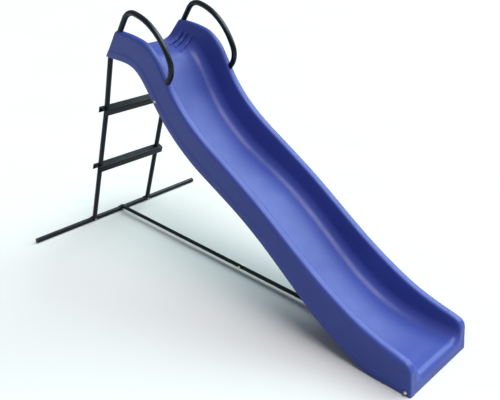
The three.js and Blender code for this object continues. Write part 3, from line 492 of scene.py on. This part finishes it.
def line_near(place):
    """The chute's line that stands at a place along X, found by halving."""
    low, high = 0.0, len(chute_lines) / 2
    for _ in range(HALVINGS):
        middle = (low + high) / 2
        if line_at(middle)["x"] < place:
            low = middle
        else:
            high = middle
    return line_at(high)


def add_grip_rib(build, side, place):
    """A thin curved rib, moulded up the fillet beside the platform so that feet and hands hold."""
    slant = math.atan(DRAFT)
    bend_run = FILLET * (math.pi / 2 - slant)
    rings = []
    for k in range(RIB_STEPS + 1):
        f = k / RIB_STEPS
        line = line_near(place + RIB_SWEEP * (1 - f) ** RIB_SWEEP_POWER - RIB_BOW * math.sin(math.pi * f))
        centre = line["inner"] - DRAFT * (line["up"] - FILLET) - FILLET / math.cos(slant)
        s = f * (RIB_BED_RUN + bend_run + RIB_WALL_RUN)
        if s < RIB_BED_RUN:
            middle = (centre - RIB_BED_RUN + s, 0.0)
            out = (0.0, 1.0)
        else:
            a = -math.pi / 2 + min(s - RIB_BED_RUN, bend_run) / FILLET
            out = (-math.cos(a), -math.sin(a))
            up_wall = max(0.0, s - RIB_BED_RUN - bend_run)
            middle = (
                centre + FILLET * math.cos(a) + up_wall * math.sin(slant),
                FILLET + FILLET * math.sin(a) + up_wall * math.cos(slant),
            )
        swell = math.sin(math.pi * (RIB_TIP + (1 - 2 * RIB_TIP) * f)) ** RIB_SWELL_POWER
        height = RIB_HEIGHT * swell
        width = RIB_WIDTH * (RIB_TIP_WIDTH + (1 - RIB_TIP_WIDTH) * swell)
        lean = math.radians(line["lean"])
        ring = []
        for along, rise in RIB_PROFILE:
            grow = height * rise if rise > 0 else rise
            p = along_line(line, side * (middle[0] + out[0] * grow), middle[1] + out[1] * grow)
            shift = along * width / 1000
            ring.append(p + Vector((math.cos(lean) * shift, 0, -math.sin(lean) * shift)))
        rings.append(ring)
    skin_rings(build, rings)


plastic = chute_plastic()
build = bmesh.new()
sections = chute_sections()
rings = []
for line in sections:
    half = half_outline(line)
    whole = half + [(-y, h) for y, h in half[-2:0:-1]]
    rings.append([along_line(line, y, h) for y, h in whole])
skin_rings(build, rings)
for side in (1, -1):
    for place in RIB_PLACES:
        add_grip_rib(build, side, place)
finish_piece("chute_shell", build, plastic, ["chute"], 34)


# ---- Handrails ----------------------------------------------------------------------------------
# Round steel tube, 32 mm, bent in one plane and powder coated black. Each one rises from the upper
# tread, runs hidden up the chute's back corner, arches over the wall and dives back into the rim.
def powder_coat():
    finish = Finish("black_powder_coat")
    deep = (0.004, 0.005, 0.007)
    light = (0.008, 0.010, 0.013)
    tone = finish.blend(finish.between(finish.speckle(6.0, 4.0), 0, 1), deep, light)
    wear = finish.between(finish.speckle(38.0, 6.0), 0, 0.5, 0.66, 0.80)
    tone = finish.blend(wear, tone, (0.030, 0.033, 0.038))
    finish.join(tone, finish.shader.inputs["Base Color"])
    rough = finish.between(finish.speckle(60.0, 4.0), 0.20, 0.27)
    finish.join(rough, finish.shader.inputs["Roughness"])
    finish.shader.inputs["IOR"].default_value = 1.5
    finish.shader.inputs["Specular IOR Level"].default_value = 0.22
    finish.shader.inputs["Specular Tint"].default_value = (0.84, 0.88, 1.0, 1.0)
    finish.bumps((finish.speckle(700.0, 2.0), 0.00005), (finish.speckle(90.0, 2.0), 0.00008))
    return finish.material


TUBE_R = 16.0
FRAME_HALF = 231.0
LADDER_LEAN = 20.9
UPPER_LEAN = 18.0
LEG_LEAN = 37.6
KNEE_HEIGHT = 1224.0
KNEE_BEND = 100.0
LEG_LENGTH = 297.0
FRONT_TAIL = 190.0
UPPER_TREAD_AT = 944.0
JOINT_BELOW = 40.0
JOINT_TO_BEND = 12.0
UPPER_BEND = 300.0
ARCH_BENDS = ((99, 61.8), (364, 57.6), (96, 62.6))
BEND_STEP = 3.0
coat = powder_coat()


def ladder_point(along, across, y):
    s = math.sin(math.radians(LADDER_LEAN))
    c = math.cos(math.radians(LADDER_LEAN))
    return (along * s + across * c, y, TUBE_R + along * c - across * s)


def rail_path():
    """(x, z, heading in degrees) from the joint at the upper tread to the end inside the rim."""
    x, _, z = ladder_point(UPPER_TREAD_AT - JOINT_BELOW, 0, 0)
    heading = 90 - LADDER_LEAN
    path = [(x, z, heading)]

    def straight(length):
        nonlocal x, z
        x += length * math.cos(math.radians(heading))
        z += length * math.sin(math.radians(heading))
        path.append((x, z, heading))

    def bend(radius, turn):
        nonlocal x, z, heading
        side = math.copysign(1, turn)
        steps = max(2, round(abs(turn) / BEND_STEP))
        cx = x + side * radius * math.sin(math.radians(heading))
        cz = z - side * radius * math.cos(math.radians(heading))
        for _ in range(steps):
            heading -= turn / steps
            x = cx - side * radius * math.sin(math.radians(heading))
            z = cz + side * radius * math.cos(math.radians(heading))
            path.append((x, z, heading))

    straight(JOINT_BELOW + JOINT_TO_BEND)
    bend(UPPER_BEND, UPPER_LEAN - LADDER_LEAN)
    tangent = KNEE_BEND * math.tan(math.radians((LEG_LEAN - UPPER_LEAN) / 2))
    straight((KNEE_HEIGHT - z) / math.cos(math.radians(UPPER_LEAN)) - tangent)
    bend(KNEE_BEND, LEG_LEAN - UPPER_LEAN)
    straight(LEG_LENGTH - tangent)
    for radius, turn in ARCH_BENDS:
        bend(radius, turn)
    straight(FRONT_TAIL)
    return path


def tube_rings(path, y, radius, sides=32):
    rings = []
    for x, z, heading in path:
        h = math.radians(heading)
        ring = []
        for k in range(sides):
            a = 2 * math.pi * k / sides
            off = radius * math.cos(a)
            ring.append(spot(x - off * math.sin(h), y + radius * math.sin(a), z + off * math.cos(h)))
        rings.append(ring)
    return rings


rail = rail_path()
for side, hand in ((1, "left"), (-1, "right")):
    build = bmesh.new()
    skin_rings(build, tube_rings(rail, side * FRAME_HALF, TUBE_R))
    finish_piece("handrail_tube_" + hand, build, coat, ["handrail_" + hand])


# ---- Ladder uprights ----------------------------------------------------------------------------
# Straight 32 mm tubes, powder coated, welded to a half-round saddle at the foot; the top is drawn
# down and pushed up into the handrail inside the upper tread.
UPRIGHT_FOOT = 13.0
SPIGOT_R = 13.2
SPIGOT_LENGTH = 40.0
SHOULDER = 3.0


def turned_rings(profile, start, axis, sides=32):
    """Rings of a turned piece: profile is (radius, distance along the axis) in millimetres."""
    axis = Vector(axis).normalized()
    across = axis.cross(Vector((0, 1, 0)) if abs(axis.y) < 0.9 else Vector((1, 0, 0))).normalized()
    other = axis.cross(across)
    rings = []
    for radius, along in profile:
        ring = []
        for k in range(sides):
            a = 2 * math.pi * k / sides
            p = Vector(start) + axis * along + (across * math.cos(a) + other * math.sin(a)) * radius
            ring.append(spot(*p))
        rings.append(ring)
    return rings


ladder_axis = Vector(ladder_point(1, 0, 0)) - Vector(ladder_point(0, 0, 0))
ladder_across = Vector(ladder_point(0, 1, 0)) - Vector(ladder_point(0, 0, 0))
for side, hand in ((1, "left"), (-1, "right")):
    build = bmesh.new()
    joint = UPPER_TREAD_AT - JOINT_BELOW
    profile = [
        (TUBE_R, UPRIGHT_FOOT),
        (TUBE_R, joint - SHOULDER),
        (SPIGOT_R, joint),
        (SPIGOT_R, joint + SPIGOT_LENGTH),
    ]
    skin_rings(build, turned_rings(profile, ladder_point(0, 0, side * FRAME_HALF), ladder_axis))
    finish_piece("upright_tube_" + hand, build, coat, ["upright_" + hand])


# ---- Foot saddles -------------------------------------------------------------------------------
# Half-round pressed shells, 3 mm steel, that sit on the base bar. The upright is welded on with a
# rippled bead, and the whole is powder coated in one go.
SADDLE_INNER = 16.4
SADDLE_OUTER = 19.4
SADDLE_EDGE = 0.8
SADDLE_STEPS = 28
FOOT_SADDLE_HALF = 28
FOOT_SADDLE_ARC = (42, 208)
FOOT_BEAD = 1.7
RIPPLES = ((0.10, 1.9), (0.05, 0.7))


def add_saddle(build, y, half, start, stop):
    rings = []
    for k in range(SADDLE_STEPS + 1):
        a = math.radians(start + (stop - start) * k / SADDLE_STEPS)
        ring = []
        for radius, side in (
            (SADDLE_INNER, -half),
            (SADDLE_INNER, half),
            (SADDLE_OUTER - SADDLE_EDGE, half),
            (SADDLE_OUTER, half - SADDLE_EDGE),
            (SADDLE_OUTER, -half + SADDLE_EDGE),
            (SADDLE_OUTER - SADDLE_EDGE, -half),
        ):
            ring.append(spot(radius * math.cos(a), y + side, TUBE_R + radius * math.sin(a)))
        rings.append(ring)
    skin_rings(build, rings)


def add_weld(build, centre_line, bead):
    """A rippled weld bead along a closed line of points in millimetres."""
    count = len(centre_line)
    rings = []
    for k in range(count + 1):
        here = Vector(centre_line[k % count])
        after = Vector(centre_line[(k + 1) % count])
        before = Vector(centre_line[(k - 1) % count])
        run = (after - before).normalized()
        side = run.orthogonal().normalized()
        other = run.cross(side)
        size = bead * (1 + sum(depth * math.sin(k * pace) for depth, pace in RIPPLES))
        around = [side * math.cos(a) + other * math.sin(a) for a in ring_angles(8)]
        rings.append([spot(*(here + out * size)) for out in around])
    skin_rings(build, rings, False)


def ring_angles(sides):
    return [2 * math.pi * k / sides for k in range(sides)]


def joint_line(tube_radius, start, axis, across, sides=72):
    """Where a tube meets the saddle's round back."""
    line = []
    for a in ring_angles(sides):
        off = tube_radius * math.cos(a)
        along = math.sqrt(SADDLE_OUTER**2 - min(off * off, SADDLE_OUTER**2 - 1))
        sideways = Vector((0, 1, 0)) * tube_radius * math.sin(a)
        line.append(Vector(start) + axis * along + across * off + sideways)
    return line


for side, hand in ((1, "left"), (-1, "right")):
    build = bmesh.new()
    y = side * FRAME_HALF
    add_saddle(build, y, FOOT_SADDLE_HALF, *FOOT_SADDLE_ARC)
    add_weld(build, joint_line(TUBE_R, (0, y, TUBE_R), ladder_axis, ladder_across), FOOT_BEAD)
    finish_piece("foot_shell_" + hand, build, coat, ["foot_saddle_" + hand])


# ---- Treads -------------------------------------------------------------------------------------
# Channels of folded 2 mm steel with the open side down and pressed anti-slip ribs along the top,
# powder coated, threaded over both uprights and bolted through.
LOWER_TREAD_AT = 491.0
TREAD_HALF = 268.0
TREAD_DEPTH = 54.0
TREAD_HEIGHT = 45.0
TREAD_SHEET = 2.0
TREAD_CORNER = 5.0
TREAD_RIBS = 7
TREAD_RIB_SHAPE = (
    (0.36, 0.0),
    (0.28, 0.45),
    (0.16, 0.9),
    (0.0, 1.0),
    (-0.16, 0.9),
    (-0.28, 0.45),
    (-0.36, 0.0),
)
TREAD_RIB_MARGIN = 2.0
TREAD_CORNER_STEPS = 6
TREAD_EDGE = 0.6
TREAD_TOP_ZONE = 1.5


def tread_outline():
    """(front to back, above the top) once round the folded sheet."""
    half = TREAD_DEPTH / 2
    points = [(half, -TREAD_HEIGHT)]

    def corner(cx, radius, start, stop):
        for k in range(TREAD_CORNER_STEPS + 1):
            a = math.radians(start + (stop - start) * k / TREAD_CORNER_STEPS)
            points.append((cx + radius * math.cos(a), -TREAD_CORNER + radius * math.sin(a)))

    corner(half - TREAD_CORNER, TREAD_CORNER, 0, 90)
    pitch = (TREAD_DEPTH - 2 * TREAD_CORNER - TREAD_RIB_MARGIN) / TREAD_RIBS
    for i in reversed(range(TREAD_RIBS)):
        middle = (i - (TREAD_RIBS - 1) / 2) * pitch
        for at, rise in TREAD_RIB_SHAPE:
            points.append((middle + at * pitch, rise))
    corner(-half + TREAD_CORNER, TREAD_CORNER, 90, 180)
    points.append((-half, -TREAD_HEIGHT))
    points.append((-half + TREAD_SHEET, -TREAD_HEIGHT))
    corner(-half + TREAD_CORNER, TREAD_CORNER - TREAD_SHEET, 180, 90)
    corner(half - TREAD_CORNER, TREAD_CORNER - TREAD_SHEET, 90, 0)
    points.append((half - TREAD_SHEET, -TREAD_HEIGHT))
    return points


for level, height in (("lower", LOWER_TREAD_AT), ("upper", UPPER_TREAD_AT)):
    build = bmesh.new()
    outline = tread_outline()
    rings = []
    inside = TREAD_HALF - TREAD_EDGE
    stations = (-TREAD_HALF, TREAD_EDGE), (-inside, 0), (0, 0), (inside, 0), (TREAD_HALF, TREAD_EDGE)
    for y, shrink in stations:
        ring = []
        for across, above in outline:
            drop = shrink if above > -TREAD_TOP_ZONE else 0
            ring.append(spot(*ladder_point(height + above - drop, across, y)))
        rings.append(ring)
    skin_rings(build, rings)
    finish_piece(level + "_tread_channel", build, coat, [level + "_tread"])


# ---- Base bar -----------------------------------------------------------------------------------
# A straight 32 mm tube that lies across under the ladder, powder coated, with a black plastic plug
# pushed into each end.
BASE_HALF = 676.0
BAR_CHAMFER = 0.6
PLUG_R = 13.0
PLUG_DEPTH = 6.0


def plug_plastic():
    finish = Finish("black_plug_plastic")
    deep = (0.010, 0.010, 0.011)
    light = (0.022, 0.022, 0.024)
    tone = finish.blend(finish.between(finish.speckle(40.0), 0, 1), deep, light)
    finish.join(tone, finish.shader.inputs["Base Color"])
    finish.join(finish.between(finish.speckle(120.0), 0.5, 0.65), finish.shader.inputs["Roughness"])
    finish.bumps((finish.speckle(900.0, 2.0), 0.00005))
    return finish.material


build = bmesh.new()
bar_length = 2 * BASE_HALF
bar_profile = [
    (TUBE_R - 0.5, 0),
    (TUBE_R, BAR_CHAMFER),
    (TUBE_R, bar_length - BAR_CHAMFER),
    (TUBE_R - 0.5, bar_length),
]
skin_rings(build, turned_rings(bar_profile, (0, -BASE_HALF, TUBE_R), (0, 1, 0), 40))
finish_piece("base_bar_tube", build, coat, ["base_bar"])
plug = plug_plastic()
for side, hand in ((1, "left"), (-1, "right")):
    build = bmesh.new()
    profile = [
        (PLUG_R, -PLUG_DEPTH),
        (PLUG_R, 0.3),
        (TUBE_R - 0.2, 0.4),
        (TUBE_R, 1.0),
        (TUBE_R, 2.2),
        (TUBE_R - 0.9, 3.4),
        (TUBE_R - 3, 4.3),
        (6, 4.4),
    ]
    skin_rings(build, turned_rings(profile, (0, side * BASE_HALF, TUBE_R), (0, side, 0), 40))
    finish_piece("base_plug_" + hand, build, plug, ["base_bar_cap_" + hand])


# ---- Ground tie ---------------------------------------------------------------------------------
# Two 25 mm tubes, the front one drawn down to slide into the back one, run along the ground from a
# welded saddle on the base bar to the cross bar between the chute's feet.
TIE_R = 12.5
TIE_BACK_HEIGHT = 31.6
CROSS_X = 2552.0
CROSS_HEIGHT = 20.0
CROSS_R = 10.0
TIE_JOINT_X = 1272.0
TIE_BOLT_X = 1240.0
TIE_START_X = 12.0
TIE_END_GAP = 9.0
TIE_WALL = 1.6
TIE_LIP = 12.0
TIE_SPIGOT_R = 10.0
TIE_SPIGOT_LENGTH = 60.0
TIE_SADDLE_HALF = 20
TIE_SADDLE_ARC = (-28, 128)
TIE_BEAD = 1.5
CROSS_HALF = 205.4
tie_start = Vector((0, 0, TIE_BACK_HEIGHT))
tie_axis = (Vector((CROSS_X, 0, CROSS_HEIGHT)) - tie_start).normalized()


def on_tie(x):
    return tie_start + tie_axis * (x / tie_axis.x)


build = bmesh.new()
add_saddle(build, 0, TIE_SADDLE_HALF, *TIE_SADDLE_ARC)
bead = []
for a in ring_angles(60):
    height = TIE_BACK_HEIGHT - TUBE_R + TIE_R * math.cos(a)
    reach = math.sqrt(max(4.0, SADDLE_OUTER**2 - height * height))
    bead.append(Vector((reach + 0.8, TIE_R * math.sin(a), TUBE_R + height)))
add_weld(build, bead, TIE_BEAD)
finish_piece("tie_shell", build, coat, ["tie_saddle"])

build = bmesh.new()
length = (on_tie(TIE_JOINT_X) - on_tie(TIE_START_X)).length
profile = [
    (TIE_R, 0),
    (TIE_R, length - 0.8),
    (TIE_R - 0.7, length),
    (TIE_R - TIE_WALL, length),
    (TIE_R - TIE_WALL, length - TIE_LIP),
]
skin_rings(build, turned_rings(profile, on_tie(TIE_START_X), tie_axis))
finish_piece("tie_back_tube", build, coat, ["tie_tube_back"])

build = bmesh.new()
length = (on_tie(CROSS_X - TIE_END_GAP) - on_tie(TIE_JOINT_X)).length
profile = [
    (TIE_SPIGOT_R, -TIE_SPIGOT_LENGTH),
    (TIE_SPIGOT_R, 0.6),
    (10.6, 1.6),
    (12.0, 4.2),
    (TIE_R, 6),
    (TIE_R, length),
]
skin_rings(build, turned_rings(profile, on_tie(TIE_JOINT_X), tie_axis))
finish_piece("tie_front_tube", build, coat, ["tie_tube_front"])

build = bmesh.new()
length = 2 * CROSS_HALF
profile = [(CROSS_R - 0.4, 0), (CROSS_R, 0.5), (CROSS_R, length - 0.5), (CROSS_R - 0.4, length)]
skin_rings(build, turned_rings(profile, (CROSS_X, -CROSS_HALF, CROSS_HEIGHT), (0, 1, 0)))
finish_piece("cross_bar_tube", build, coat, ["cross_bar"])


# ---- Bolts and nuts -----------------------------------------------------------------------------
# Cold-formed flanged hex bolts and nuts with a pale yellow zinc plate: M6 in the frame, M8 where
# the handrails and the cross bar are fixed through the chute's skin.
def zinc_plate():
    finish = Finish("yellow_zinc")
    deep = (0.46, 0.42, 0.30)
    light = (0.66, 0.62, 0.48)
    tone = finish.blend(finish.between(finish.speckle(300.0, 5.0), 0, 1), deep, light)
    finish.join(tone, finish.shader.inputs["Base Color"])
    finish.shader.inputs["Metallic"].default_value = 0.85
    finish.join(finish.between(finish.speckle(500.0, 4.0), 0.28, 0.45), finish.shader.inputs["Roughness"])
    finish.bumps((finish.speckle(1600.0, 3.0), 0.00006))
    return finish.material


M8 = {"shank": 4.0, "flats": 13.0, "head": 5.5, "flange": 8.5, "nut": 6.5}
M6 = {"shank": 3.0, "flats": 10.0, "head": 4.0, "flange": 6.2, "nut": 5.0}
THREAD_PITCH = 1.0
THREAD_DEPTH = 0.45
zinc = zinc_plate()


def hex_rings(size, heights, start, axis, sides=48):
    """Rings of a hexagon whose corners are turned off: heights is (distance, largest radius)."""
    axis = Vector(axis).normalized()
    across = axis.cross(Vector((0, 1, 0)) if abs(axis.y) < 0.9 else Vector((0, 0, 1))).normalized()
    other = axis.cross(across)
    rings = []
    for along, largest in heights:
        ring = []
        for a in ring_angles(sides):
            from_flat = (math.degrees(a) + 30) % 60 - 30
            flat = size["flats"] / 2 / math.cos(math.radians(from_flat))
            radius = min(flat, largest)
            p = Vector(start) + axis * along + (across * math.cos(a) + other * math.sin(a)) * radius
            ring.append(spot(*p))
        rings.append(ring)
    return rings


def add_head(build, size, under, inward, height):
    corner = size["flats"] / math.sqrt(3)
    out = -Vector(inward).normalized()
    flat = size["flats"] / 2
    edge = size["flange"]
    flange = [(edge - 0.4, 0.0), (edge, 0.3), (edge, 0.8), (corner + 0.3, 1.5), (corner - 1, 1.6)]
    skin_rings(build, turned_rings(flange, under, out))
    top = height + 1.0
    heights = [
        (1.2, corner),
        (top - 1.1, corner),
        (top - 0.5, corner - 0.45),
        (top - 0.1, flat - 0.1),
        (top, flat - 0.9),
    ]
    skin_rings(build, hex_rings(size, heights, under, out))


def add_thread(build, size, start, axis, length):
    crest = size["shank"]
    profile = [(crest - 0.1, 0)]
    along = 0.4
    while along < length - 1.2:
        profile += [(crest, along), (crest - THREAD_DEPTH, along + THREAD_PITCH / 2)]
        along += THREAD_PITCH
    profile += [(crest - 0.2, length - 0.7), (crest - 0.9, length)]
    skin_rings(build, turned_rings(profile, start, axis, 20))


def make_bolt(name, node, size, under, inward, length):
    build = bmesh.new()
    add_head(build, size, under, inward, size["head"])
    add_thread(build, size, under, inward, length)
    finish_piece(name, build, zinc, [node], 28)


def make_nut(name, node, size, face, outward):
    build = bmesh.new()
    add_head(build, size, face, -Vector(outward), size["nut"])
    finish_piece(name, build, zinc, [node], 28)


FIT = 0.4
FOOT_BOLT_HEIGHT = 14.6
SADDLE_BOLT_HEIGHT = 12.5
TREAD_BOLT_DROP = 22.0
BACK_BOLT_ABOVE_KNEE = 26.0
SIDE_BOLT_FROM_END = 9.0
FOOT_BOLT_LENGTH = 43.0
BACK_BOLT_LENGTH = 15.6
SIDE_BOLT_LENGTH = 14.0
FRONT_BOLT_LENGTH = 72.0
TREAD_BOLT_LENGTH = 50.0
TIE_BOLT_LENGTH = 33.0
back_in = Vector((math.cos(math.radians(LEG_LEAN)), 0, -math.sin(math.radians(LEG_LEAN))))
back_bolt_z = KNEE_HEIGHT + BACK_BOLT_ABOVE_KNEE
end_x, end_z, end_heading = rail[-1]
side_bolt_x = end_x - SIDE_BOLT_FROM_END * math.cos(math.radians(end_heading))
side_bolt_z = end_z - SIDE_BOLT_FROM_END * math.sin(math.radians(end_heading))
for side, hand in ((1, "left"), (-1, "right")):
    y = side * FRAME_HALF
    foot = (TUBE_R + FIT, y, FOOT_BOLT_HEIGHT)
    make_bolt("foot_screw_" + hand, "foot_bolt_" + hand, M6, foot, (-1, 0, 0), FOOT_BOLT_LENGTH)
    heel = (-SADDLE_OUTER - FIT, y, FOOT_BOLT_HEIGHT)
    make_nut("foot_screw_nut_" + hand, "foot_nut_" + hand, M6, heel, (-1, 0, 0))
    back = Vector((back_x(back_bolt_z), y, back_bolt_z)) - back_in * FIT
    make_bolt("back_screw_" + hand, "back_bolt_" + hand, M8, back, back_in, BACK_BOLT_LENGTH)
    flank = (side_bolt_x, side * (CHUTE_HALF + FIT), side_bolt_z)
    make_bolt("side_screw_" + hand, "side_bolt_" + hand, M8, flank, (0, -side, 0), SIDE_BOLT_LENGTH)
    low = (CROSS_X, side * (CHUTE_HALF + FIT), CROSS_HEIGHT)
    make_bolt("front_screw_" + hand, "front_bolt_" + hand, M8, low, (0, -side, 0), FRONT_BOLT_LENGTH)
    for level, height in (("lower", LOWER_TREAD_AT), ("upper", UPPER_TREAD_AT)):
        along = height - TREAD_BOLT_DROP
        under = ladder_point(along, -TREAD_DEPTH / 2 - FIT, y)
        screw = f"{level}_tread_screw"
        node = f"{level}_tread"
        make_bolt(f"{screw}_{hand}", f"{node}_bolt_{hand}", M6, under, ladder_across, TREAD_BOLT_LENGTH)
        face = ladder_point(along, TUBE_R + FIT, y)
        make_nut(f"{screw}_nut_{hand}", f"{node}_nut_{hand}", M6, face, ladder_across)
beside = Vector((0, TIE_R + FIT, 0))
make_bolt("tie_screw", "tie_bolt", M6, on_tie(TIE_BOLT_X) - beside, (0, 1, 0), TIE_BOLT_LENGTH)
make_nut("tie_screw_nut", "tie_nut", M6, on_tie(TIE_BOLT_X) + beside, (0, 1, 0))
ahead = (SADDLE_OUTER + FIT, 0, SADDLE_BOLT_HEIGHT)
make_bolt("saddle_screw", "tie_saddle_bolt", M6, ahead, (-1, 0, 0), FOOT_BOLT_LENGTH)
behind = (-TUBE_R - FIT, 0, SADDLE_BOLT_HEIGHT)
make_nut("saddle_screw_nut", "tie_saddle_nut", M6, behind, (-1, 0, 0))

low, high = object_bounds()
